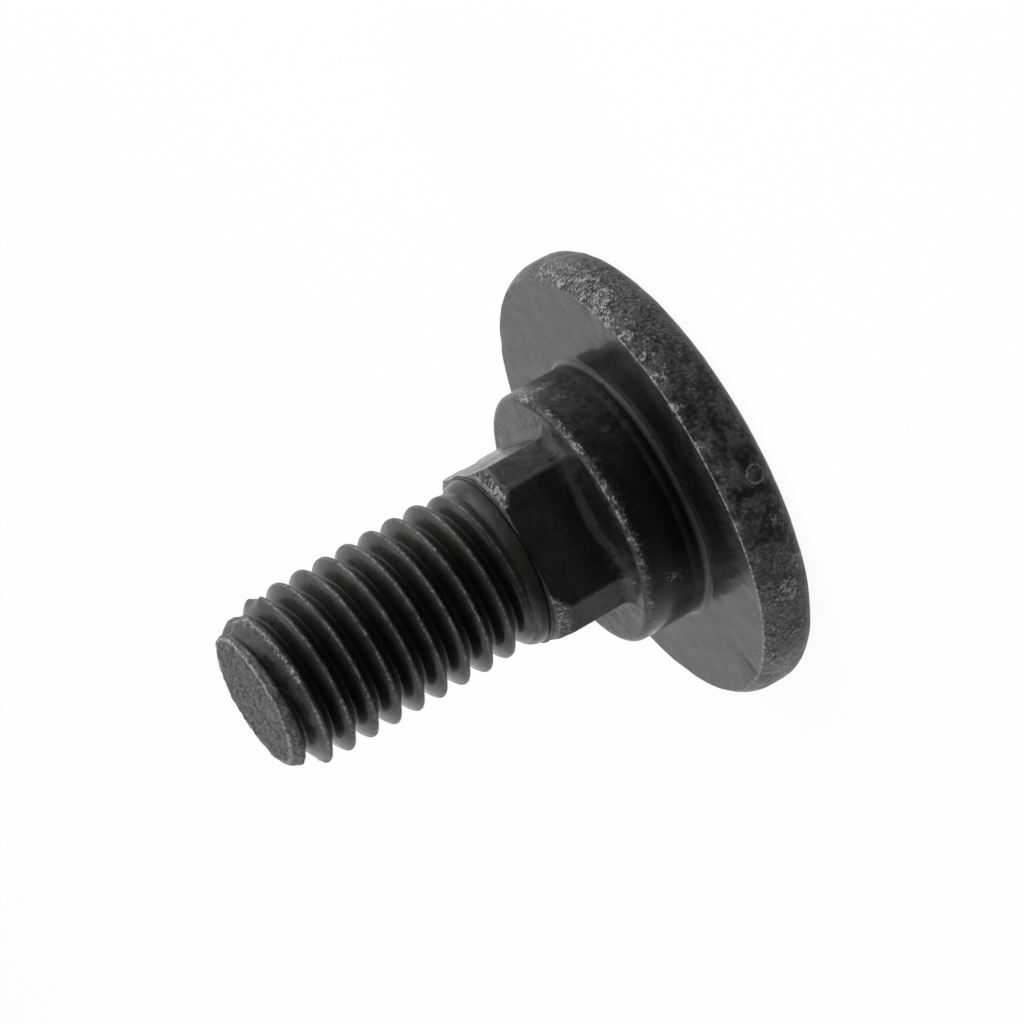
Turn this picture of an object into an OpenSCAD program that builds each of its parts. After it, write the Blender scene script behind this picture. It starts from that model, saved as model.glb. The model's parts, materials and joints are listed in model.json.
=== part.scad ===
// Blade bolt of a disc or rotary mower, forged in one piece: a flat round head with a
// crowned rim, a collar that the blade swings on, a square neck with flattened corners
// that locks the bolt in its carrier, and a shank with an M12 rolled thread.
// It stands on its head. +Z runs along the shank, away from the head.

/* [Head] */
// Diameter over the crown of the rim
head_d = 31.7; // [26:0.1:40]
// Thickness, from the resting face to the seat
head_h = 4; // [3.3:0.1:6]
// How far the rim swells out past the edge of the seat
rim_swell = 0.65; // [0.3:0.05:1.2]
// Depth below the seat at which the rim is widest
rim_depth = 1.6; // [1.3:0.1:1.9]
// Radius of the rounded edge round the resting face
rim_back_r = 1.6; // [0.5:0.1:2]

/* [Collar] */
// Diameter of the wall that the blade swings on
collar_d = 18.2; // [15:0.1:22]
// Height above the seat
collar_h = 4.8; // [3:0.1:8]
// Radius of the outer edge of the collar's end
collar_edge_r = 0.5; // [0.2:0.05:1]
// Radius of the fillet between the collar and the seat
collar_root_r = 0.45; // [0.2:0.05:1]

/* [Square neck] */
// Height above the collar's end
neck_h = 5.3; // [3.5:0.1:9]
// How much wider the neck is, across its flats, than the thread that passes its hole first
neck_clear = 0.3; // [0.1:0.05:1]
// Width of the flat that takes off each corner
corner_w = 2.5; // [1.5:0.1:4]
// Radius of the fillet between the neck and the collar's end
neck_root_r = 0.8; // [0.3:0.05:1]
// Height of the cone that trims the corners at the neck's end
nose_h = 0.65; // [0.4:0.05:1]
// Angle of that cone's side to the bolt's axis
nose_angle = 38; // [30:1:60]

/* [Shank] */
// Length from the seat to the tip
length = 29.2; // [20:0.1:60]
// Outside diameter of the thread
thread_d = 11.7; // [9:0.1:15]
// How far the rolled crests stand out of the plain blank
crest_rise = 0.35; // [0.2:0.05:0.5]
// How far the smooth bead past the neck stands out of the blank
bead_rise = 0.45; // [0.2:0.05:0.6]
// Radius of the bead's section
bead_r = 0.95; // [0.7:0.05:1.5]
// Distance from the neck's end to the bead's crown
bead_offset = 0.35; // [0.2:0.05:0.6]
// Length of blank between the neck and the first crest
blank_l = 1.5; // [1:0.1:3]
// Length over which the crests rise to the full thread
runout_l = 2; // [1:0.1:4]
// Length of the tapered tip
tip_l = 2.5; // [1:0.1:4]
// Diameter of the end face
tip_d = 8.9; // [7:0.1:9]

/* [Hidden] */
$fn = 96;

black_oxide = [0.13, 0.13, 0.13];

head_r = head_d / 2;
collar_r = collar_d / 2;
collar_face_r = collar_r - collar_edge_r;
thread_r = thread_d / 2;
blank_r = thread_r - crest_rise;
tip_r = tip_d / 2;

// Heights of the steps along the axis
seat_z = head_h;
collar_z = seat_z + collar_h;
neck_z = collar_z + neck_h;
nose_z = neck_z - nose_h;
runout_z = neck_z + blank_l;
full_z = runout_z + runout_l;
tip_z = seat_z + length;

// The crown is an arc, upright at the rim's widest level, that sinks rim_swell by the seat
crown_z = seat_z - rim_depth;
crown_r = (rim_swell * rim_swell + rim_depth * rim_depth) / (2 * rim_swell);
back_r = min(rim_back_r, crown_z);

// Distances from the axis to a flat, to a corner's flat and to where the two meet
neck_half = (thread_d + neck_clear) / 2;
corner_leg = corner_w / sqrt(2);
corner_half = (2 * neck_half - corner_leg) / sqrt(2);
corner_r = norm([neck_half, neck_half - corner_leg]);

// Quarter of a disc below or above its centre, for the rounded edges of the sections
module edge_arc(centre, r, z_side) {
    translate(centre)
        intersection() {
            circle(r);
            translate([0, z_side < 0 ? -r : 0]) square(r);
        }
}

// Half section of the head: back edge, widest band and crown, round a plain core
module head_section() {
    square([head_r - back_r, head_h]);
    if (crown_z > back_r) translate([0, back_r]) square([head_r, crown_z - back_r]);
    edge_arc([head_r - back_r, back_r], back_r, -1);
    intersection() {
        edge_arc([head_r - crown_r, crown_z], crown_r, 1);
        square([head_r, head_h]);
    }
}

// Half section of the collar, with its root fillet and rounded end
module collar_section() {
    square([collar_r, collar_z - collar_edge_r]);
    square([collar_face_r, collar_z]);
    edge_arc([collar_face_r, collar_z - collar_edge_r], collar_edge_r, 1);
    difference() {
        square([collar_r + collar_root_r, seat_z + collar_root_r]);
        translate([collar_r + collar_root_r, seat_z + collar_root_r]) circle(collar_root_r);
    }
}

// Half section of the shank: blank, run-out, full thread and tapered tip
module shank_section() {
    polygon([
        [0, seat_z],
        [blank_r, seat_z],
        [blank_r, runout_z],
        [thread_r, full_z],
        [thread_r, tip_z - tip_l],
        [tip_r, tip_z],
        [0, tip_z]
    ]);
    translate([blank_r + bead_rise - bead_r, neck_z + bead_offset]) circle(bead_r);
}

// Everything to one side of a neck flat, with the fillet at the flat's foot
module flat_block(half) {
    reach = 2 * collar_d;
    foot = half + neck_root_r;
    translate([0, reach / 2, 0])
        rotate([90, 0, 0])
            linear_extrude(reach)
                difference() {
                    translate([-reach, seat_z]) square([reach + foot, neck_z - seat_z]);
                    translate([half, collar_z + neck_root_r]) square(reach);
                    translate([foot, collar_z + neck_root_r]) circle(neck_root_r);
                }
}

// What a lathe would leave of the neck: no wider than the collar's end, coned at the nose
module neck_turned() {
    slope = tan(nose_angle);
    rotate_extrude()
        polygon([
            [0, seat_z],
            [collar_face_r, seat_z],
            [collar_face_r, nose_z - (collar_face_r - corner_r) / slope],
            [corner_r - nose_h * slope, neck_z],
            [0, neck_z]
        ]);
}

module neck() {
    intersection() {
        neck_turned();
        intersection_for (i = [0:3]) rotate(90 * i) flat_block(neck_half);
        intersection_for (i = [0:3]) rotate(90 * i + 45) flat_block(corner_half);
    }
}

module blade_bolt() {
    color(black_oxide) {
        rotate_extrude() {
            head_section();
            collar_section();
            shank_section();
        }
        neck();
    }
}

blade_bolt();
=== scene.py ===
"""Blade bolt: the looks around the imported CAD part.

The bolt is one forging, so it is one closed mesh that replaces the CAD node. Its rows run from the
middle of the head, over the rim, seat, collar and neck, up the rolled thread and across the tip.
Each row also carries five masks, from which one material draws the finish.

Lengths are in millimetres here and turned into metres when the mesh is made. Azimuths are in
degrees round the axis, from +X towards +Y: the photographed front is at about -85.
"""
import functools
import json
import math
from types import SimpleNamespace

import bpy
import numpy as np
from mathutils import Matrix, Vector


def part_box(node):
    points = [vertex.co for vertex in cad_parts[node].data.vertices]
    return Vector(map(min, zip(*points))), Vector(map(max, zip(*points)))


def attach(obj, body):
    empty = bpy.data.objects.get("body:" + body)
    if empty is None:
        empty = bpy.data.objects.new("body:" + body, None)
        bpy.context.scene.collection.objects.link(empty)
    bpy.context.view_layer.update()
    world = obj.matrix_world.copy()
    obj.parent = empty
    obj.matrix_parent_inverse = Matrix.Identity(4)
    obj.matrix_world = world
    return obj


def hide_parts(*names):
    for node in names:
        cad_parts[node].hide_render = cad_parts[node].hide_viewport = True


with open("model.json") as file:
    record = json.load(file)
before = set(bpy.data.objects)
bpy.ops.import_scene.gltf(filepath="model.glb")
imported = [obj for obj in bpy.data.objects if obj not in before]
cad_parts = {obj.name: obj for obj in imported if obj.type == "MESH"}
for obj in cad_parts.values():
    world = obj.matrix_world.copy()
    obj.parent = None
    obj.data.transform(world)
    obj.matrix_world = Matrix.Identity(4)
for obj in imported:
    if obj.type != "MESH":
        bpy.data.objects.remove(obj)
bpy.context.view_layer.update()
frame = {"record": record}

MM = 0.001
NODE = "blade_bolt"
mounts = {m["name"]: m for m in frame["record"]["mounts"]}
low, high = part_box(NODE)

# ---------------------------------------------------------------- sizes, from the frame
HEAD_R = (high.x - low.x) / 2 / MM
TIP_Z = high.z / MM
SEAT_Z = mounts["head_seat"]["pos_m"][2] / MM
COLLAR_R = mounts["collar"]["dims"]["r_mm"]
CREST_R = mounts["thread_shank"]["dims"]["r_mm"]

# ---------------------------------------------------------------- sizes that the CAD part shares
# the rim stands out past the seat's edge by a swell, as a crown of this depth
RIM_SWELL = 0.65
RIM_DEPTH = 1.6
RIM_BACK_R = 1.6
COLLAR_H = 4.8
COLLAR_EDGE_R = 0.5
COLLAR_ROOT_R = 0.45
# the neck is a square with a flat of width CORNER_W across each corner
NECK_H = 5.3
NECK_HALF = CREST_R + 0.15
CORNER_W = 2.5
NECK_ROOT_R = 0.8
# the one size that the CAD part doesn't have: how much further the front flat's fillet climbs
FRONT_ROOT_RISE = 0.55
# the nose is the cone that trims the neck's corners at its end
NOSE_H = 0.65
NOSE_SLOPE = math.tan(math.radians(38))

EDGE_R = HEAD_R - RIM_SWELL
COLLAR_Z = SEAT_Z + COLLAR_H
NECK_Z = COLLAR_Z + NECK_H
NOSE_Z = NECK_Z - NOSE_H
CORNER_LEG = CORNER_W / math.sqrt(2)
CORNER_HALF = (2 * NECK_HALF - CORNER_LEG) / math.sqrt(2)
CORNER_R = math.hypot(NECK_HALF, NECK_HALF - CORNER_LEG)

# ---------------------------------------------------------------- the shank under the thread
# a crevice at the neck's end, a rounded bead, a waist, and the full radius from FULL_Z on
CREVICE_R = CREST_R
CREVICE_Z = NECK_Z + 0.01
BEAD_Z = NECK_Z + 0.22
BEAD_R = CREST_R + 0.1
BEAD_BELOW = 0.5
BEAD_ABOVE = 0.85
WAIST_R = 5.5
FULL_Z = NECK_Z + 3.8
# the tip tapers to a knee, and from there more steeply to its torn face
TIP_START_Z = TIP_Z - 2.5
TIP_KNEE_Z = TIP_Z - 0.42
TIP_KNEE_R = 4.72
TIP_R = 4.25
TIP_FACE_Z = TIP_Z - 0.015

# ---------------------------------------------------------------- the thread, M12 x 1.75
PITCH = 1.75
THREAD_PHASE = 0.2
FLANK = math.tan(math.radians(30))
CREST_HALF = 0.14
ROOT_R = 0.16
# how far a crest's worn corners are rounded on its two sides
TIP_SIDE_BLEND = 0.5
HEAD_SIDE_BLEND = 0.08
# the groove fades in over the bead and out over the tip
GROOVE_START = NECK_Z + 0.85
GROOVE_FULL = NECK_Z + 1.9
GROOVE_FADE = TIP_Z - 1.1
GROOVE_END = TIP_Z - 0.35
TIP_EXTRA_DEPTH = 0.45
# the strip of rows that climb with the helix, and the gap between it and the plain rows
STRIP_FROM = NECK_Z + 0.06
STRIP_TO = TIP_Z - 0.03
STRIP_MARGIN = 0.03


def smooth_min(a, b, k):
    """The smaller of two numbers, rounded over a width k where they meet."""
    h = np.maximum(k - np.abs(a - b), 0) / k
    return np.minimum(a, b) - h * h * k / 4


def ramp(x, start, end):
    """0 before start, 1 after end, and smooth between them."""
    t = np.clip((x - start) / (end - start), 0, 1)
    return t * t * (3 - 2 * t)


def hump(x, centre, width):
    """1 where x is at the centre, falling to 0 over about twice the width on both sides."""
    return np.exp(-(((x - centre) / width) ** 2))


def turn_from(theta, azimuth):
    """Degrees from an azimuth to theta, from -180 to 180."""
    return np.degrees(np.angle(np.exp(1j * (theta - math.radians(azimuth)))))


def lobe(theta, azimuth, width):
    """A hump round the axis, centred on an azimuth, with its width in degrees."""
    return hump(turn_from(theta, azimuth), 0, width)


LATTICE = np.random.default_rng(12).uniform(-1, 1, 8192)
LATTICE_KEYS = np.array([73856093, 19349663, 83492791])
SEED_SHIFT = 17.3


def lumps(p, size, seed):
    """Smooth noise from -1 to 1 at points p, with features about size across."""
    q = p / size + SEED_SHIFT * seed
    cell = np.floor(q).astype(np.int64)
    t = q - cell
    t = t * t * (3 - 2 * t)
    total = np.zeros(len(p))
    for corner in np.ndindex(2, 2, 2):
        key = (cell + corner) @ LATTICE_KEYS
        share = np.prod(np.where(np.array(corner) == 1, t, 1 - t), axis=1)
        total += share * LATTICE[(key ^ (key >> 13)) % len(LATTICE)]
    return total


# ---------------------------------------------------------------- columns and rows
COLUMNS_PER_FLAT = 60
COLUMNS_PER_CORNER = 16


def column_angles():
    """Angles round the axis, spaced so that a column lies on each of the neck's eight edges."""
    edge = math.acos(NECK_HALF / CORNER_R)
    flat = np.linspace(-edge, edge, COLUMNS_PER_FLAT, endpoint=False)
    corner = np.linspace(edge, math.pi / 2 - edge, COLUMNS_PER_CORNER, endpoint=False)
    quarter = np.concatenate([flat, corner])
    return np.concatenate([quarter + i * math.pi / 2 for i in range(4)])


THETA = column_angles()
N = len(THETA)
# the fillet at the neck's foot climbs further up the front flat than up the others
NECK_ROOT_RISE = NECK_ROOT_R + FRONT_ROOT_RISE * lobe(THETA, -90, 30)

# forged skin, specks of bare steel, lightness of the smooth oxide with painted highlights and painted
# shade, burred edge with painted glints on the crests, torn surface
MASKS = ("skin", "wear", "dull", "burr", "cut")
MASK_LIMIT = 4


def row(r, z, skin=0.0, wear=0.0, dull=0.0, burr=0.0, cut=0.0):
    """One row of the mesh: radius and height at each column, and the masks of its finish there."""
    return [np.broadcast_to(v, N).astype(float) for v in (r, z, skin, wear, dull, burr, cut)]


def arc_row(centre_r, centre_z, radius, turn, **looks):
    """The row where an arc of the section has turned by an angle, in degrees."""
    a = np.radians(turn)
    return row(centre_r + radius * math.cos(a), centre_z + radius * math.sin(a), **looks)


def arc(centre_r, centre_z, radius, start, end, steps, **looks):
    """Rows along an arc of the section, from angle start to end."""
    for turn in np.linspace(start, end, steps):
        yield arc_row(centre_r, centre_z, radius, turn, **looks)


def neck_wall(z):
    """Distance from the axis to the neck's wall at each column, with the fillet at its foot."""
    to_top = 1 - np.clip((z - COLLAR_Z) / NECK_ROOT_RISE, 0, 1)
    foot = NECK_ROOT_R * (1 - np.sqrt(1 - to_top**2))
    wall = np.full(N, np.inf)
    for i in range(8):
        half = NECK_HALF if i % 2 == 0 else CORNER_HALF
        facing = np.cos(THETA - i * math.pi / 4)
        flat = (half + foot) / np.maximum(facing, 0.1)
        wall = np.where(facing > 0.1, np.minimum(wall, flat), wall)
    return wall


def on_corner_flat():
    """1 at the columns that lie on the flats which take off the neck's corners."""
    to_corner = np.abs((np.degrees(THETA) % 90) - 45)
    half_flat = 45 - math.degrees(math.acos(NECK_HALF / CORNER_R))
    return np.where(to_corner < half_flat + 0.01, 1.0, 0.0)


def head_rows():
    """From near the middle of the resting face, round the crowned rim, to the edge of the seat.

    The rim is sandy at the lower right of the photographed side and scuffed at its upper left.
    """
    back_r = HEAD_R - RIM_BACK_R
    crown_r = (RIM_SWELL**2 + RIM_DEPTH**2) / (2 * RIM_SWELL)
    crown_end = math.degrees(math.asin(RIM_DEPTH / crown_r))
    crown_z = SEAT_Z - RIM_DEPTH
    sandy = lobe(THETA, -145, 34)
    scuffed = lobe(THETA, -30, 38)
    rim = dict(skin=0.52 + 0.58 * sandy + 0.68 * scuffed, wear=0.4 + 0.35 * sandy + 0.2 * scuffed)
    for share in (0.2, 0.4, 0.6, 0.75, 0.87, 0.95):
        yield row(back_r * share, 0, skin=0.8, wear=0.1)
    yield from arc(back_r, RIM_BACK_R, RIM_BACK_R, -90, 0, 10, **rim)
    for share in (0.33, 0.67):
        yield row(HEAD_R, RIM_BACK_R + (crown_z - RIM_BACK_R) * share, **rim)
    # the crown stops just short of the seat, where the burred edge has a row of its own
    yield from arc(HEAD_R - crown_r, crown_z, crown_r, 0, crown_end * 0.93, 11, **rim)
    yield row(EDGE_R, SEAT_Z, skin=0.5, wear=0.6, burr=0.4 + 1.5 * lobe(THETA, -125, 60))


def seat_rows():
    """The turned seat, from its burred edge in to the collar's fillet."""
    root = COLLAR_R + COLLAR_ROOT_R
    yield row(EDGE_R - 0.07, SEAT_Z, skin=0.3, wear=0.3,
              burr=0.25 * lobe(THETA, -122, 60) + 0.7 * lobe(THETA, -155, 22))
    for share in (0.035, 0.08, 0.15, 0.25, 0.37, 0.5, 0.63, 0.76, 0.88, 0.96):
        rub = max(1 - share / 0.45, 0)
        yield row(EDGE_R + (root - EDGE_R) * share, SEAT_Z, skin=0.12 * rub, dull=0.18 + rub, cut=0.02)


def collar_rows():
    """The collar's fillet with a painted highlight band, its wall with one turned line near the foot,
    and its rubbed edge.
    """
    root = COLLAR_R + COLLAR_ROOT_R
    face = COLLAR_R - COLLAR_EDGE_R
    wall_low = SEAT_Z + COLLAR_ROOT_R
    wall_high = COLLAR_Z - COLLAR_EDGE_R
    left = lobe(THETA, -30, 35)
    rubbed = 0.3 + 0.7 * lobe(THETA, -80, 48)
    # painted highlight: a lighter band of smooth oxide across the middle of the collar's fillet
    for turn, painted_highlight in zip(range(270, 179, -15), (0.2, 0.3, 0.6, 1.9, 2.1, 1.9, 0.3)):
        yield arc_row(root, wall_low, COLLAR_ROOT_R, turn, dull=painted_highlight)
    for share in np.linspace(0, 1, 14)[1:-2]:
        turned = abs(share - 0.15) < 0.05
        yield row(COLLAR_R - 0.03 * turned, wall_low + (wall_high - wall_low) * share,
                  skin=0.25 * left, wear=0.22 + 0.18 * ramp(share, 0.5, 1), dull=0.3 + 1.2 * turned)
    yield row(COLLAR_R, wall_high - 0.42, skin=0.2 * left, wear=0.4, dull=0.4)
    yield row(COLLAR_R, wall_high - 0.28, skin=0.2 * left, wear=0.45, dull=0.4)
    yield row(COLLAR_R, wall_high - 0.12, skin=0.2, wear=0.6, dull=0.5)
    yield row(COLLAR_R, wall_high, skin=0.15 + 0.2 * rubbed, wear=0.55 + 0.4 * rubbed,
              dull=0.8, burr=0.2 * rubbed)
    yield from arc(face, wall_high, COLLAR_EDGE_R, 15, 45, 3, skin=0.15 + 0.2 * rubbed,
                   wear=0.5 + 0.45 * rubbed, dull=1, burr=0.3 * rubbed)
    yield from arc(face, wall_high, COLLAR_EDGE_R, 60, 90, 3, skin=0.2, wear=0.3, dull=0.5)


def foot_rows():
    """The collar's end face and the fillet at the neck's foot, with a painted highlight band on the
    fillet, strongest at the front.

    At azimuth -106 the band steps down the fillet, where the real one has a kink.
    """
    face = COLLAR_R - COLLAR_EDGE_R
    foot = neck_wall(COLLAR_Z)
    front = lobe(THETA, -88, 42)
    skin = 0.5 - 0.45 * front
    for share, wear in ((0.2, 0.2), (0.45, 0.1), (0.7, 0), (0.9, 0)):
        yield row(face + (foot - face) * share, COLLAR_Z, skin=skin, wear=wear, dull=0.2)
    kink = 12 * ramp(-turn_from(THETA, 0), 104, 109)
    for turn in np.linspace(0, 90, 13):
        z = COLLAR_Z + NECK_ROOT_RISE * (1 - math.cos(math.radians(turn)))
        # painted highlight: a lighter band partway up the fillet, much stronger at the front
        painted_highlight = ramp(turn, 36 - kink, 50 - kink) * (1 - ramp(turn, 68 - kink, 80 - kink))
        yield row(neck_wall(z), z, skin=0.6 * (1 - front), dull=0.3 + (0.2 + 2.1 * front) * painted_highlight)


def neck_rows():
    """The neck's walls, and the cone that trims its corners at the nose."""
    start = COLLAR_Z + NECK_ROOT_RISE
    wall = neck_wall(start)
    nose = np.minimum(NOSE_Z + (CORNER_R - wall) / NOSE_SLOPE, NECK_Z - 0.06)
    nosed = np.where(wall > CORNER_R - NOSE_SLOPE * NOSE_H, 1.0, 0.0)
    tone = 0.8 + 1.5 * on_corner_flat()
    rubbed = lobe(THETA, -12, 22)
    for share in np.linspace(0, 1, 13)[1:-1]:
        # painted shade: the walls are made darker towards their foot
        tone_with_painted_shade = tone - 0.5 * (1 - ramp(share, 0.1, 0.5))
        yield row(wall, start + (nose - start) * share, skin=0.05 * tone + 0.25 * rubbed,
                  wear=0.9 * rubbed, dull=tone_with_painted_shade, burr=0.35 * rubbed)
    yield row(wall, nose, skin=0.6 * nosed, wear=0.3 + 0.4 * nosed, dull=tone, burr=0.4 * nosed)
    for share in np.linspace(0, 1, 7)[1:]:
        z = nose + (NECK_Z - nose) * share
        r = np.minimum(wall, CORNER_R - (z - NOSE_Z) * NOSE_SLOPE)
        end_burr = (0.25 + 0.75 * nosed) * (share == 1)
        yield row(r, z, skin=nosed, wear=0.3 + 0.75 * nosed, dull=1, burr=end_burr)
    yield row(CREVICE_R + 0.3, CREVICE_Z, skin=0.6, dull=0.5)
    yield row(CREVICE_R, CREVICE_Z, skin=0.3, dull=0.3)


def shank_cap(theta, z):
    """Radius of the shank before the thread is rolled into it: bead, waist, full size and tip."""
    side = np.where(z > BEAD_Z, BEAD_ABOVE, BEAD_BELOW)
    bead = np.sqrt(np.clip(1 - ((z - BEAD_Z) / side) ** 2, 0, 1))
    body = WAIST_R + (CREST_R - WAIST_R) * ramp(z, BEAD_Z + BEAD_ABOVE - 0.3, FULL_Z)
    body = body + (BEAD_R - WAIST_R) * bead
    # the sheared tip isn't round: its knee and its end stand out at the sides
    knee_r = TIP_KNEE_R + 0.24 * lobe(theta, -178, 35) - 0.06 * lobe(theta, -60, 40)
    end_r = TIP_R + 0.35 * lobe(theta, 0, 30) + 0.3 * lobe(theta, -178, 22)
    start_r = CREST_R + 0.02
    up = (z - TIP_START_Z) / (TIP_KNEE_Z - TIP_START_Z)
    belly = (0.05 + 0.17 * lobe(theta, 0, 45)) * np.sin(math.pi * np.clip(up, 0, 1))
    cone = start_r + (knee_r - start_r) * up + belly
    lip = end_r + (knee_r - end_r) * (TIP_Z - z) / (TIP_Z - TIP_KNEE_Z)
    return smooth_min(smooth_min(body, cone, 0.15), lip, 0.06)


def up_the_helix(theta, z):
    """A place's turn up the helix, and its distance along the axis from the nearest crest."""
    turn = (z - THREAD_PHASE) / PITCH - theta / (2 * math.pi)
    return turn, (turn - np.round(turn)) * PITCH


def thread_radius(theta, z):
    """Radius of the rolled thread: a V groove with a round root, which fades out at both ends."""
    turn, off = up_the_helix(theta, z)
    from_crest = np.abs(off)
    from_root = PITCH / 2 - from_crest
    groove_z = THREAD_PHASE + PITCH * (np.floor(turn) + 0.5 + theta / (2 * math.pi))
    apex = CREST_R - (PITCH / 2 - CREST_HALF) / FLANK
    flank = CREST_R - (from_crest - CREST_HALF) / FLANK
    arc_half = ROOT_R * math.cos(math.radians(30))
    root = apex + 2 * ROOT_R - np.sqrt(ROOT_R**2 - np.minimum(from_root, arc_half) ** 2)
    groove = np.where(from_root < arc_half, root, flank)
    groove = groove - TIP_EXTRA_DEPTH * ramp(groove_z, TIP_START_Z, GROOVE_FADE)
    cap = shank_cap(theta, z)
    depth = ramp(groove_z, GROOVE_START, GROOVE_FULL) * (1 - ramp(groove_z, GROOVE_FADE, GROOVE_END))
    worn_side = TIP_SIDE_BLEND * (1 - 0.7 * ramp(z, TIP_START_Z, TIP_START_Z + 1))
    blend = HEAD_SIDE_BLEND + (worn_side - HEAD_SIDE_BLEND) * ramp(off, -0.1, 0.2)
    return cap + (smooth_min(groove, cap, blend) - cap) * depth


def tip_burr(theta):
    """How much bare steel shows on the outside of the tip's burred edge: less at the front."""
    return 3 - 1.9 * lobe(theta, -88, 38)


def thread_looks(theta, z):
    """The masks of the thread's finish: worn on its crests, rough at the tip, plain on the chamfer;
    painted highlights on the crests' tip side, the bead and the left side, and painted glints on the
    crest edges at both sides.
    """
    off = up_the_helix(theta, z)[1]
    threaded = ramp(z, GROOVE_START, GROOVE_FULL)
    crest = hump(off, 0.03, 0.13) * threaded
    edge = hump(off, 0.04, 0.05) * threaded
    # painted highlight: lighter oxide just past each crest on the tip side
    shoulder_painted_highlight = hump(off, 0.15, 0.26) * threaded
    tip = ramp(z, TIP_START_Z + 0.2, TIP_START_Z + 1)
    chamfer = ramp(z, TIP_KNEE_Z - 0.1, TIP_KNEE_Z + 0.05)
    on_top = 1 - ramp(shank_cap(theta, z) - thread_radius(theta, z), 0.05, 0.25)
    skin = np.maximum(tip * (0.2 + 0.7 * on_top), 0.35 * crest) * (1 - 0.9 * chamfer)
    wear = 0.2 + (0.5 * crest + tip * (0.4 * on_top + 0.5 * crest)) * (1 - chamfer)
    # painted glints: the crests' bare edges are made brighter at the two sides
    sides = 0.5 * lobe(theta, -122, 22) + 0.5 * lobe(theta, -34, 24)
    burr = edge * (0.4 + sides + 0.6 * tip) * (1 - chamfer)
    burr = burr + 0.6 * hump(z, TIP_KNEE_Z, 0.06)
    burr = burr + tip_burr(theta) * ramp(z, TIP_Z - 0.18, TIP_Z - 0.1)
    # painted highlight on the bead, strongest on its left
    bead = (0.4 + 1.9 * lobe(theta, -42, 33)) * (1 - ramp(z, BEAD_Z + 0.5, BEAD_Z + 1.1))
    # painted light: the thread is made lighter on its left side
    painted_left_light = 1.5 * lobe(theta, -22, 28) * threaded
    dull = 0.6 + bead + painted_left_light + 0.8 * shoulder_painted_highlight + 1.2 * chamfer + 0.4 * tip
    cut = 0.6 * chamfer
    return skin, wear, dull, burr, cut


# ---------------------------------------------------------------- the mesh
class Mesh:
    """Points, faces and looks of the bolt, gathered a row at a time."""

    def __init__(self):
        self.points = []
        self.looks = []
        self.faces = []

    def add_row(self, r, z, *looks):
        """Adds the points of a row with their masks, and gives their numbers."""
        start = len(self.points)
        self.points.extend(zip(r * np.cos(THETA), r * np.sin(THETA), z))
        self.looks.extend(zip(*looks))
        return np.arange(start, start + N)

    def add_point(self, point, looks):
        """Adds one point with its masks, and gives its number."""
        self.points.append(point)
        self.looks.append(looks)
        return len(self.points) - 1

    def add_face(self, *corners):
        """Adds a face, without the corners that fall on one point, unless nothing is left of it."""
        kept = [c for i, c in enumerate(corners) if c != corners[i - 1]]
        if len(set(kept)) == len(kept) >= 3:
            self.faces.append([int(c) for c in kept])

    def join(self, rows):
        """Bands of quads between neighbouring rows."""
        for below, above in zip(rows, rows[1:]):
            for j in range(N):
                k = (j + 1) % N
                self.add_face(below[j], below[k], above[k], above[j])

    def fan(self, edge, middle, upward):
        """Triangles from a row to a point in its middle, facing up or down."""
        for j in range(N):
            k = (j + 1) % N
            a, b = (j, k) if upward else (k, j)
            self.add_face(edge[a], edge[b], middle)


def thread_levels():
    """Heights of the thread's rows within one pitch, measured from a crest's middle."""
    half = np.array([0.07, 0.12, 0.17, 0.27, 0.43, 0.59, 0.7, 0.79])
    return np.concatenate([[0], half, [PITCH / 2], PITCH - half[::-1]])


def thread_strip(mesh, first, last):
    """The thread's rows climb with the helix: a row meets the one a pitch higher where it comes round.

    What lies below STRIP_FROM or above STRIP_TO is gathered into the plain rows first and last.
    """
    levels = thread_levels()
    climb = PITCH * THETA / (2 * math.pi)
    start_turn = math.floor((STRIP_FROM - THREAD_PHASE - climb.max()) / PITCH) - 1
    end_turn = math.ceil((STRIP_TO - THREAD_PHASE - climb.min()) / PITCH) + 1
    rows = []
    for turn in range(start_turn, end_turn + 1):
        for level in levels:
            z = THREAD_PHASE + PITCH * turn + level + climb
            r = thread_radius(THETA, z)
            looks = thread_looks(THETA, z)
            ids = np.where(z < STRIP_FROM + STRIP_MARGIN, first, last)
            for j in np.flatnonzero((z >= STRIP_FROM + STRIP_MARGIN) & (z <= STRIP_TO - STRIP_MARGIN)):
                point = (r[j] * math.cos(THETA[j]), r[j] * math.sin(THETA[j]), z[j])
                ids[j] = mesh.add_point(point, [look[j] for look in looks])
            rows.append(ids)
    for i in range(len(rows) - 1 - len(levels)):
        for j in range(N - 1):
            mesh.add_face(rows[i][j], rows[i][j + 1], rows[i + 1][j + 1], rows[i + 1][j])
        above = i + len(levels)
        mesh.add_face(rows[i][-1], rows[above][0], rows[above + 1][0], rows[i + 1][-1])


def end_face(mesh, rim, rim_r):
    """The torn face across the tip, from the row of its rim to its middle."""
    rows = [rim]
    for share in (0.98, 0.95, 0.9, 0.83, 0.76, 0.68, 0.6, 0.51, 0.42, 0.33, 0.23, 0.12):
        bare = ramp(share, 0.95, 0.98)
        looks = dict(skin=0.9, wear=0.6 + 0.4 * bare, dull=0.6, burr=3 * bare, cut=1)
        rows.append(mesh.add_row(*row(rim_r * share, TIP_FACE_Z, **looks)))
    mesh.join(rows)
    mesh.fan(rows[-1], mesh.add_point((0, 0, TIP_FACE_Z), (0.6, 0.4, 0.6, 0, 1)), upward=True)


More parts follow.
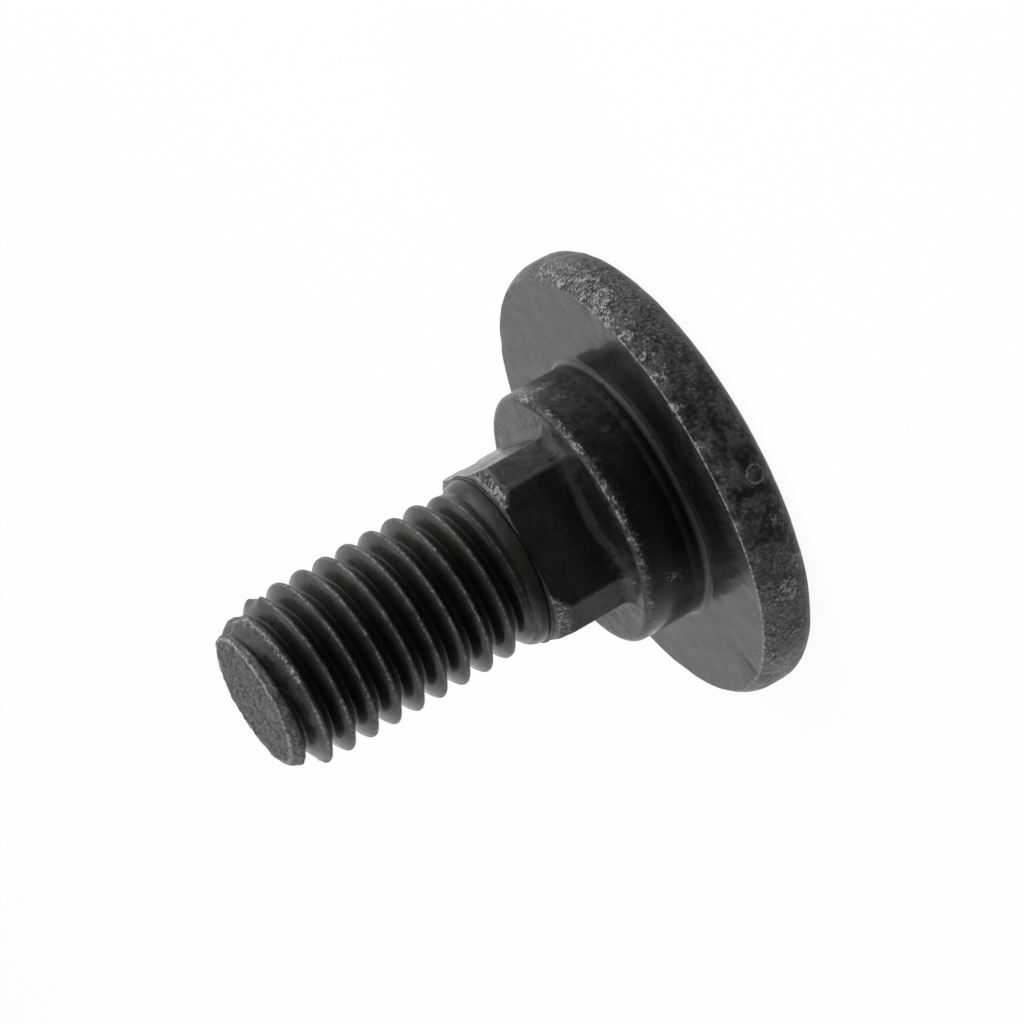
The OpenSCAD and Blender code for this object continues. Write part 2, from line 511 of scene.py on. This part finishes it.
def bolt_mesh():
    """The whole bolt as one closed mesh, from the head's middle to the tip's."""
    mesh = Mesh()
    rows = []
    for part in (head_rows, seat_rows, collar_rows, foot_rows, neck_rows):
        rows.extend(mesh.add_row(*values) for values in part())
    rows.append(mesh.add_row(*row(thread_radius(THETA, STRIP_FROM), STRIP_FROM, dull=0.8)))
    mesh.join(rows)
    mesh.fan(rows[0], mesh.add_point((0, 0, 0), (0.8, 0.1, 0, 0, 0)), upward=False)
    end_r = thread_radius(THETA, STRIP_TO)
    end = mesh.add_row(*row(end_r, STRIP_TO, skin=1, wear=1, dull=1, burr=tip_burr(THETA), cut=0.5))
    thread_strip(mesh, rows[-1], end)
    end_face(mesh, end, end_r)
    return mesh


# ---------------------------------------------------------------- dents and worn patches
def spot(azimuth, r, z):
    """A place on the bolt, from its azimuth, distance from the axis and height."""
    a = math.radians(azimuth)
    return np.array([r * math.cos(a), r * math.sin(a), z])


# place, radius, depth
DENTS = [
    (spot(-29, 15.5, 3.6), 0.5, 0.09),
    (spot(-37, 15.4, 3.7), 0.55, 0.12),
    (spot(-44, 15.3, 3.9), 0.35, 0.07),
    (spot(-33, 15.8, 2.6), 0.4, 0.06),
    (spot(-74, 15.3, 3.9), 0.5, 0.12),
    (spot(-160, 15.55, 3.4), 1.1, 0.14),
    (spot(-160, 14.3, 4.0), 0.3, 0.05),
    (spot(-137, 15.8, 2.0), 0.7, 0.06),
    (spot(40, 15.5, 3.5), 0.6, 0.1),
    (spot(96, 15.7, 2.9), 0.8, 0.09),
    (spot(150, 15.5, 3.6), 0.5, 0.08),
    (spot(36, 6.9, 11.5), 0.5, 0.25),
    (spot(35, 7.0, 12.0), 0.35, 0.15),
]
# place, radius, strength
WORN = [
    (spot(-12, 15.6, 3.0), 1.2, 0.5),
    (spot(-20, 15.6, 3.1), 1.2, 0.6),
    (spot(-28, 15.5, 3.2), 1.3, 0.7),
    (spot(-37, 15.5, 3.3), 1.2, 0.7),
    (spot(-44, 15.4, 3.6), 0.9, 0.6),
    (spot(-51, 15.3, 3.7), 0.8, 0.6),
    (spot(-58, 15.3, 3.8), 0.7, 0.6),
    (spot(-65, 15.3, 3.9), 0.6, 0.6),
    (spot(-74, 15.2, 3.9), 0.5, 0.9),
    (spot(-84, 15.2, 3.9), 0.35, 0.5),
    (spot(-126, 15.8, 2.0), 0.7, 1.0),
    (spot(-108, 15.85, 1.2), 0.8, 0.5),
    (spot(-120, 15.85, 1.0), 0.9, 0.4),
    (spot(-150, 15.5, 3.2), 0.8, 0.4),
    (spot(-154, 15.7, 2.5), 1.0, 0.5),
    (spot(-160, 15.6, 3.0), 0.9, 0.5),
    (spot(-130, 9.1, 6.7), 0.8, 0.5),
    (spot(-12, 9.0, 8.0), 1.6, 0.5),
    (spot(-31, 9.1, 6.9), 0.5, 0.6),
    (spot(-17, 9.1, 6.9), 0.5, 0.6),
    (spot(-58, 9.1, 6.1), 0.3, 0.6),
    (spot(-130, 7.9, 9.1), 0.6, 0.9),
]
# place, radius, strength
CHIPS = [
    (spot(-73, 15.2, 3.95), 0.22, 3.0),
    (spot(-76, 15.15, 3.95), 0.16, 2.0),
    (spot(-39, 15.3, 3.9), 0.3, 2.0),
    (spot(-45, 15.25, 3.95), 0.25, 1.6),
]
# place, radius, width of the line
RING_MARK = (spot(-96, 15.8, 1.5), 0.6, 0.13)
# place, radius
STAIN = (spot(-50, 14.7, 4.0), 1.3)


def bolt_points(mesh, normals):
    """The mesh's points with the forging's unevenness, and the dents that use has left."""
    p = np.array(mesh.points)
    skin = np.array(mesh.looks)[:, 0]
    tip = ramp(p[:, 2], TIP_START_Z + 0.5, TIP_KNEE_Z)
    waves = 0.012 * lumps(p, 2.6, 1)
    forged = 0.018 * lumps(p, 1.3, 2) + 0.02 * lumps(p, 0.55, 3) + 0.025
    torn = 0.08 * lumps(p, 0.7, 5) + 0.06 * lumps(p, 0.3, 6) + 0.04
    inward = waves + skin * forged + tip * skin * torn
    for place, radius, depth in DENTS:
        away = np.linalg.norm(p - place, axis=1)
        inward += depth * hump(away, 0, radius) * (1 + 0.4 * lumps(p, 0.4, 4))
    p -= normals * inward[:, None]
    p[:, 2] = np.clip(p[:, 2], 0, TIP_Z)
    return p


def bolt_looks(mesh):
    """The mesh's masks, with the worn patches and chips added."""
    looks = np.array(mesh.looks)
    p = np.array(mesh.points)
    for mask, marks in (("wear", WORN), ("burr", CHIPS)):
        for place, radius, strength in marks:
            away = np.linalg.norm(p - place, axis=1)
            looks[:, MASKS.index(mask)] += strength * hump(away, 0, radius)
    return looks


def build_bolt():
    """The bolt as an object, with a smooth mesh and one attribute for each mask."""
    mesh = bolt_mesh()
    data = bpy.data.meshes.new("forged_bolt")
    data.from_pydata([Vector(p) for p in mesh.points], [], mesh.faces)
    data.update()
    normals = np.zeros(len(mesh.points) * 3)
    data.vertex_normals.foreach_get("vector", normals)
    points = bolt_points(mesh, normals.reshape(-1, 3)) * MM
    data.vertices.foreach_set("co", points.ravel())
    for name, values in zip(MASKS, bolt_looks(mesh).T):
        mask = data.attributes.new(name, "FLOAT", "POINT")
        mask.data.foreach_set("value", np.clip(values, 0, MASK_LIMIT))
    data.polygons.foreach_set("use_smooth", [True] * len(data.polygons))
    data.update()
    bolt = bpy.data.objects.new("forged_bolt", data)
    bpy.context.scene.collection.objects.link(bolt)
    return bolt


# ---------------------------------------------------------------- finish
class Graph:
    """Short ways to add shader nodes to one material."""

    def __init__(self, tree):
        self.tree = tree

    def node(self, kind, **settings):
        """A new node, with its settings."""
        made = self.tree.nodes.new(kind)
        for name, value in settings.items():
            setattr(made, name, value)
        return made

    def feed(self, socket, value):
        """Links an output to a socket, or sets the socket to a value."""
        if isinstance(value, bpy.types.NodeSocket):
            self.tree.links.new(value, socket)
        else:
            socket.default_value = value

    def math(self, operation, a, b=0.0):
        """One operation on two numbers."""
        made = self.node("ShaderNodeMath", operation=operation)
        self.feed(made.inputs[0], a)
        self.feed(made.inputs[1], b)
        return made.outputs[0]

    def plus(self, *values):
        """The sum of all the values."""
        return functools.reduce(lambda a, b: self.math("ADD", a, b), values)

    def times(self, *values):
        """All the values multiplied."""
        return functools.reduce(lambda a, b: self.math("MULTIPLY", a, b), values)

    def largest(self, *values):
        """The largest of the values."""
        return functools.reduce(lambda a, b: self.math("MAXIMUM", a, b), values)

    def apart(self, a, b):
        """How far two numbers are apart."""
        return self.math("ABSOLUTE", self.math("SUBTRACT", a, b))

    def mask(self, name):
        """One of the mesh's masks."""
        return self.node("ShaderNodeAttribute", attribute_name=name).outputs["Fac"]

    def noise(self, place, per_mm, detail=2.0, roughness=0.5, distortion=0.0):
        """Noise from 0 to 1, with about per_mm features in a millimetre."""
        made = self.node("ShaderNodeTexNoise")
        self.feed(made.inputs["Vector"], place)
        made.inputs["Scale"].default_value = per_mm
        made.inputs["Detail"].default_value = detail
        made.inputs["Roughness"].default_value = roughness
        made.inputs["Distortion"].default_value = distortion
        return made.outputs["Fac"]

    def curls(self, place, per_mm, width):
        """Thin curled lines: 1 along each, and 0 off it."""
        wave = self.noise(place, per_mm, distortion=1.5)
        return self.spread(self.apart(wave, 0.5), width, 0)

    def spread(self, value, low, high, to_low=0.0, to_high=1.0):
        """Values from low to high are spread over to_low to to_high, smoothly, and held past them."""
        made = self.node("ShaderNodeMapRange", interpolation_type="SMOOTHSTEP")
        for socket, v in zip(made.inputs, (value, low, high, to_low, to_high)):
            self.feed(socket, v)
        return made.outputs[0]

    def blend(self, share, a, b):
        """Two numbers mixed: all a at share 0, and all b at share 1."""
        made = self.node("ShaderNodeMix", data_type="FLOAT")
        for name, v in zip(("Factor", "A", "B"), (share, a, b)):
            self.feed(made.inputs[name], v)
        return made.outputs["Result"]

    def mix(self, share, a, b):
        """Two colours mixed: all a at share 0, and all b at share 1."""
        made = self.node("ShaderNodeMix", data_type="RGBA")
        self.feed(made.inputs["Factor"], share)
        self.feed(made.inputs["A"], a)
        self.feed(made.inputs["B"], b)
        return made.outputs["Result"]

    def stretch(self, place, factors):
        """A place with each axis scaled by its own factor."""
        made = self.node("ShaderNodeVectorMath", operation="MULTIPLY")
        self.feed(made.inputs[0], place)
        made.inputs[1].default_value = factors
        return made.outputs[0]

    def away(self, place, centre):
        """The distance from a place to a centre."""
        made = self.node("ShaderNodeVectorMath", operation="DISTANCE")
        self.feed(made.inputs[0], place)
        made.inputs[1].default_value = centre
        return made.outputs["Value"]

    def near(self, place, centre, radius):
        """1 at a centre, falling to 0 at a radius from it."""
        return self.spread(self.away(place, centre), radius, 0)

    def ring(self, place, centre, radius, width):
        """1 on a circle round a centre, and 0 further than width from it."""
        return self.spread(self.apart(self.away(place, centre), radius), width, 0)

    def level(self):
        """1 on level faces, and 0 on those more than about 15 degrees from level."""
        split = self.node("ShaderNodeSeparateXYZ")
        self.feed(split.inputs[0], self.node("ShaderNodeTexCoord").outputs["Normal"])
        return self.spread(self.math("ABSOLUTE", split.outputs["Z"]), 0.96, 1)

    def scale(self, vector, factor):
        """A place or a colour times a number."""
        made = self.node("ShaderNodeVectorMath", operation="SCALE")
        self.feed(made.inputs[0], vector)
        self.feed(made.inputs["Scale"], factor)
        return made.outputs[0]


def grey(level, warmth=0.0):
    """A grey, or one that leans from blue towards red by its warmth."""
    return (level * (1 + warmth), level, level * (1 - warmth), 1)


GREEN_OXIDE = (0.0073, 0.0095, 0.0088, 1)
BROWN_OXIDE = (0.0097, 0.0092, 0.0072, 1)
RUST_FILM = (0.03, 0.02, 0.013, 1)
STAIN_BROWN = (0.034, 0.022, 0.015, 1)


def finish_patterns(g):
    """All that the finish is drawn from: the mesh's masks, noises and marks, in millimetres."""
    place = g.scale(g.node("ShaderNodeTexCoord").outputs["Object"], 1 / MM)
    p = SimpleNamespace(**{name: g.mask(name) for name in MASKS})
    p.cloud = g.noise(place, 0.3, 3)
    p.mottle = g.noise(place, 1.1, 4, 0.6)
    p.relief = g.noise(place, 2.8, 5, 0.62, distortion=0.4)
    p.fine = g.noise(place, 5.2, 4, 0.65, distortion=0.7)
    p.grain = g.noise(place, 16, 2)
    p.rasp = g.noise(g.stretch(place, (1, 0.65, 1)), 4, 4, 0.7)
    p.curls = g.curls(place, 2.2, 0.045)
    p.soft = g.math("SUBTRACT", g.noise(g.stretch(place, (1, 0.3, 1)), 0.7, 1), 0.5)
    p.clumps = g.plus(g.times(p.fine, 0.6), g.times(p.relief, 0.4))
    p.pit = g.spread(g.noise(place, 2.2, 2), 0.3, 0.26)
    centre, radius, width = RING_MARK
    p.ring = g.times(g.ring(place, centre, radius, width), g.spread(p.fine, 0.45, 0.6, 0.1, 0.8))
    p.stain = g.near(place, *STAIN)
    return p


def bare_metal(g, p):
    """Where the oxide is gone: in specks, curled scuffs, burred edges and the ring mark; the burr mask
    also carries painted glints along the thread's crests at the sides.
    """
    worn = g.times(p.wear, g.spread(p.mottle, 0.38, 0.6, 0.6, 1.3))
    limit = g.math("SUBTRACT", 0.72, g.times(g.math("MINIMUM", worn, 1.15), 0.2))
    speck = g.spread(g.math("SUBTRACT", p.clumps, limit), -0.01, 0.06)
    scuff = g.times(p.curls, g.spread(worn, 0.25, 1.1, 0, 0.9), g.spread(p.fine, 0.42, 0.58))
    broken = g.times(g.spread(p.mottle, 0.35, 0.6, 0.4, 1), g.spread(p.fine, 0.42, 0.58, 0.12, 1.3))
    line = g.times(p.burr, broken)
    return g.math("MINIMUM", g.largest(speck, scuff, line, p.ring), 1)


def oxide_colour(g, p):
    """The oxide: dark and smooth, mottled on the forged skin, or ragged on the torn end. The smooth
    oxide's lightness carries the painted highlights and painted shade.
    """
    sandy = g.spread(p.skin, 0.6, 1)
    patchy = g.spread(g.blend(sandy, g.blend(0.42, p.mottle, p.relief), p.clumps), 0.38, 0.62)
    tint = g.mix(g.spread(p.cloud, 0.35, 0.6), GREEN_OXIDE, BROWN_OXIDE)
    smooth = g.scale(g.mix(patchy, tint, grey(0.0125, 0.02)), p.dull)
    forged = g.mix(patchy, grey(0.011), grey(0.066, 0.02))
    forged = g.scale(forged, g.spread(p.cloud, 0.35, 0.62, 0.75, 1.4))
    torn = g.mix(g.spread(g.blend(0.3, p.rasp, p.fine), 0.36, 0.66), grey(0.002), grey(0.115, 0.05))
    colour = g.mix(p.cut, g.mix(p.skin, smooth, forged), torn)
    colour = g.mix(g.times(g.spread(p.cloud, 0.58, 0.7), 0.12), colour, RUST_FILM)
    colour = g.mix(g.times(p.stain, 0.7), colour, STAIN_BROWN)
    return g.scale(colour, g.spread(p.pit, 0, 1, 1, 0.4))


def finish_roughness(g, p, metal):
    """Low on the turned and rolled faces, higher where the skin is forged, torn, pitted or bare."""
    return g.plus(
        g.times(p.skin, 0.22),
        g.times(p.dull, 0.05),
        g.times(p.cut, 0.18),
        g.times(p.pit, 0.1),
        g.spread(p.mottle, 0.3, 0.7, 0.12, 0.26),
        g.times(metal, 0.1),
    )


def finish_height(g, p, metal):
    """The relief that is too fine for the mesh, in millimetres."""
    return g.plus(
        g.times(p.mottle, 0.01),
        g.times(g.level(), p.soft, 0.08),
        g.times(p.fine, 0.001),
        g.times(p.skin, g.spread(p.mottle, 0.35, 0.65, 0.5, 1.4), p.relief, 0.1),
        g.times(p.cut, p.rasp, 0.24),
        g.times(metal, 0.02),
        g.times(p.pit, -0.04),
        g.times(p.ring, -0.02),
    )


def black_oxide():
    """Black-oxide steel: glossy where it was turned or rolled, mottled where it was forged,
    and rubbed to bare grey steel in specks along its edges."""
    material = bpy.data.materials.new("black_oxide_steel")
    material.use_nodes = True
    g = Graph(material.node_tree)
    shader = material.node_tree.nodes["Principled BSDF"]
    p = finish_patterns(g)
    metal = bare_metal(g, p)
    steel = g.mix(p.grain, grey(0.09, 0.02), grey(0.4, 0.02))
    g.feed(shader.inputs["Base Color"], g.mix(metal, oxide_colour(g, p), steel))
    g.feed(shader.inputs["Roughness"], finish_roughness(g, p, metal))
    shader.inputs["IOR"].default_value = 1.5
    shader.inputs["Specular Tint"].default_value = (0.05, 0.05, 0.05, 1)
    bump = g.node("ShaderNodeBump")
    bump.inputs["Distance"].default_value = MM
    g.feed(bump.inputs["Height"], finish_height(g, p, metal))
    g.feed(shader.inputs["Normal"], bump.outputs[0])
    return material


# ---------------------------------------------------------------- stage
# the floor's half size in metres, how white it is seen, and its own grey
FLOOR_SIZE = 3.0
FLOOR_WHITE = 0.95
FLOOR_GREY = 0.65
SKY_LIGHT = 0.14
# metres, from the middle of the bolt
SOFTBOX_DISTANCE = 0.45
# name: azimuth, elevation, width and height in metres, radiance
SOFTBOXES = {
    "left_softbox": (-5, 46, 0.5, 0.6, 4.3),
    "right_softbox": (178, 38, 0.45, 0.5, 1.5),
}
# degrees: how far the camera stands to the right of the front, how far up, and how far it rolls
CAMERA_TURN = 5.4
CAMERA_ELEVATION = 17.4
CAMERA_ROLL = 119.55
# all in millimetres
CAMERA_AIM = Vector((2.1, 2.45, SEAT_Z + 7.14))
CAMERA_DISTANCE = 391.17
CAMERA_LENS = 210.94
CAMERA_SENSOR = 36


def seen_directly(g):
    """1 for camera, glossy and transmission rays, which see the background as plain white."""
    path = g.node("ShaderNodeLightPath")
    kinds = ("Is Camera Ray", "Is Glossy Ray", "Is Transmission Ray")
    return g.largest(*(path.outputs[kind] for kind in kinds))


def make_floor():
    """A pale floor that takes the bolt's shadow."""
    mesh = bpy.data.meshes.new("floor")
    s = FLOOR_SIZE
    mesh.from_pydata([(-s, -s, 0), (s, -s, 0), (s, s, 0), (-s, s, 0)], [], [(0, 1, 2, 3)])
    floor = bpy.data.objects.new("floor", mesh)
    bpy.context.scene.collection.objects.link(floor)
    material = bpy.data.materials.new("white_floor")
    material.use_nodes = True
    g = Graph(material.node_tree)
    shader = material.node_tree.nodes["Principled BSDF"]
    shader.inputs["Base Color"].default_value = grey(FLOOR_GREY)
    shader.inputs["Roughness"].default_value = 1
    shader.inputs["Specular IOR Level"].default_value = 0
    glow = g.node("ShaderNodeEmission")
    mix = g.node("ShaderNodeMixShader")
    g.feed(mix.inputs[0], g.math("MULTIPLY", seen_directly(g), FLOOR_WHITE))
    g.feed(mix.inputs[1], shader.outputs[0])
    g.feed(mix.inputs[2], glow.outputs[0])
    g.feed(material.node_tree.nodes["Material Output"].inputs["Surface"], mix.outputs[0])
    mesh.materials.append(material)


def make_world():
    """A dim even sky that is seen as white."""
    world = bpy.data.worlds.new("studio")
    bpy.context.scene.world = world
    world.use_nodes = True
    g = Graph(world.node_tree)
    background = world.node_tree.nodes["Background"]
    background.inputs["Color"].default_value = (1, 1, 1, 1)
    g.feed(background.inputs["Strength"], g.spread(seen_directly(g), 0, 1, SKY_LIGHT, 1))


def make_softbox(name, azimuth, elevation, width, height, radiance):
    """A rectangular soft light that faces the bolt."""
    light = bpy.data.lights.new(name, "AREA")
    light.shape = "RECTANGLE"
    light.size = width
    light.size_y = height
    light.energy = radiance * math.pi * width * height
    softbox = bpy.data.objects.new(name, light)
    a, e = math.radians(azimuth), math.radians(elevation)
    way = Vector((math.cos(a) * math.cos(e), math.sin(a) * math.cos(e), math.sin(e)))
    softbox.location = way * SOFTBOX_DISTANCE + Vector((0, 0, TIP_Z / 2 * MM))
    softbox.rotation_euler = way.to_track_quat("Z", "Y").to_euler()
    bpy.context.scene.collection.objects.link(softbox)


def make_lights():
    """A tall soft light at each side. They draw light lines along the fillets and crests; painted
    highlights in the finish add to these lines.
    """
    for name, settings in SOFTBOXES.items():
        make_softbox(name, *settings)


def make_camera():
    """The photograph's view: from the front, a little above, rolled so that the head is upper right."""
    turn, elevation, roll = (math.radians(a) for a in (CAMERA_TURN, CAMERA_ELEVATION, CAMERA_ROLL))
    flat = math.cos(elevation)
    back = Vector((math.sin(turn) * flat, -math.cos(turn) * flat, math.sin(elevation)))
    camera = bpy.data.objects.new("camera", bpy.data.cameras.new("camera"))
    camera.data.lens = CAMERA_LENS
    camera.data.sensor_width = CAMERA_SENSOR
    camera.data.clip_start = 0.01
    level = back.to_track_quat("Z", "Y").to_matrix().to_4x4()
    place = Matrix.Translation((CAMERA_AIM + back * CAMERA_DISTANCE) * MM)
    camera.matrix_world = place @ level @ Matrix.Rotation(-roll, 4, "Z")
    bpy.context.scene.collection.objects.link(camera)
    bpy.context.scene.camera = camera


bolt = build_bolt()
bolt.data.materials.append(black_oxide())
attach(bolt, "root")
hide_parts(NODE)
make_floor()
make_world()
make_lights()
make_camera()
bpy.context.scene.view_settings.view_transform = "Standard"
